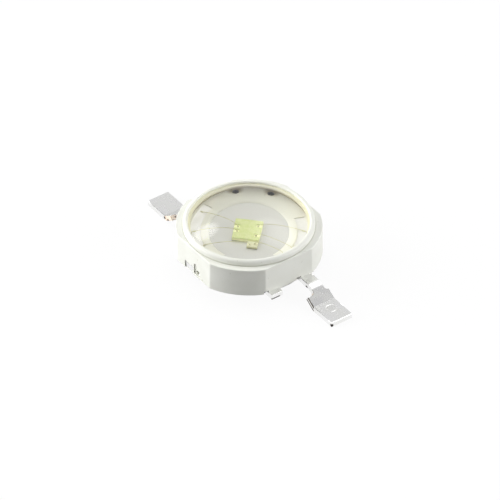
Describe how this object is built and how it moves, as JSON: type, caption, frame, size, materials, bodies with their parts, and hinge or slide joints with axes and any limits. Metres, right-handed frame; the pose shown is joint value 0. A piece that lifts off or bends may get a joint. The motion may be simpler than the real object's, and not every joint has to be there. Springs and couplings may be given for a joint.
{
  "type": "high power led",
  "caption": "High power LED emitter with a round white housing, gull-wing leads, a low clear lens over a square yellow-green die and a metal heat slug beneath.",
  "frame": {"origin": "centre of the part's footprint on the board plane, under the middle of the heat slug's base", "axes": "+Z out of the lens, +X along the lead whose foot lies to the right in the picture, +Y completes a right-handed frame"},
  "size_m": [0.0144, 0.0074, 0.0037],
  "materials": {
    "white_plastic": "satin moulded white",
    "silver_plate": "bright silver plate on copper alloy",
    "clear_lens": "polished clear",
    "clear_gel": "clear soft gel",
    "solder": "dull solder",
    "die_crystal": "polished crystal",
    "phosphor": "matt yellow-green powder",
    "diode_crystal": "polished crystal",
    "gold_wire": "drawn gold wire"
  },
  "bodies": {
    "root": {"housing": "white_plastic", "heat_slug": "silver_plate", "lead_left": "silver_plate", "lead_right": "silver_plate", "end_tab_left": "silver_plate", "end_tab_right": "silver_plate", "tie_bar_front": "silver_plate", "tie_bar_rear": "silver_plate", "lens": "clear_lens", "silicone_gel": "clear_gel", "die_solder": "solder", "led_die": "die_crystal", "phosphor_coat": "phosphor", "diode_solder": "solder", "protection_diode": "diode_crystal", "bond_wire_1": "gold_wire", "bond_wire_2": "gold_wire", "bond_wire_3": "gold_wire", "bond_wire_4": "gold_wire", "bond_wire_5": "gold_wire", "bond_wire_6": "gold_wire"}
  },
  "joints": []
}
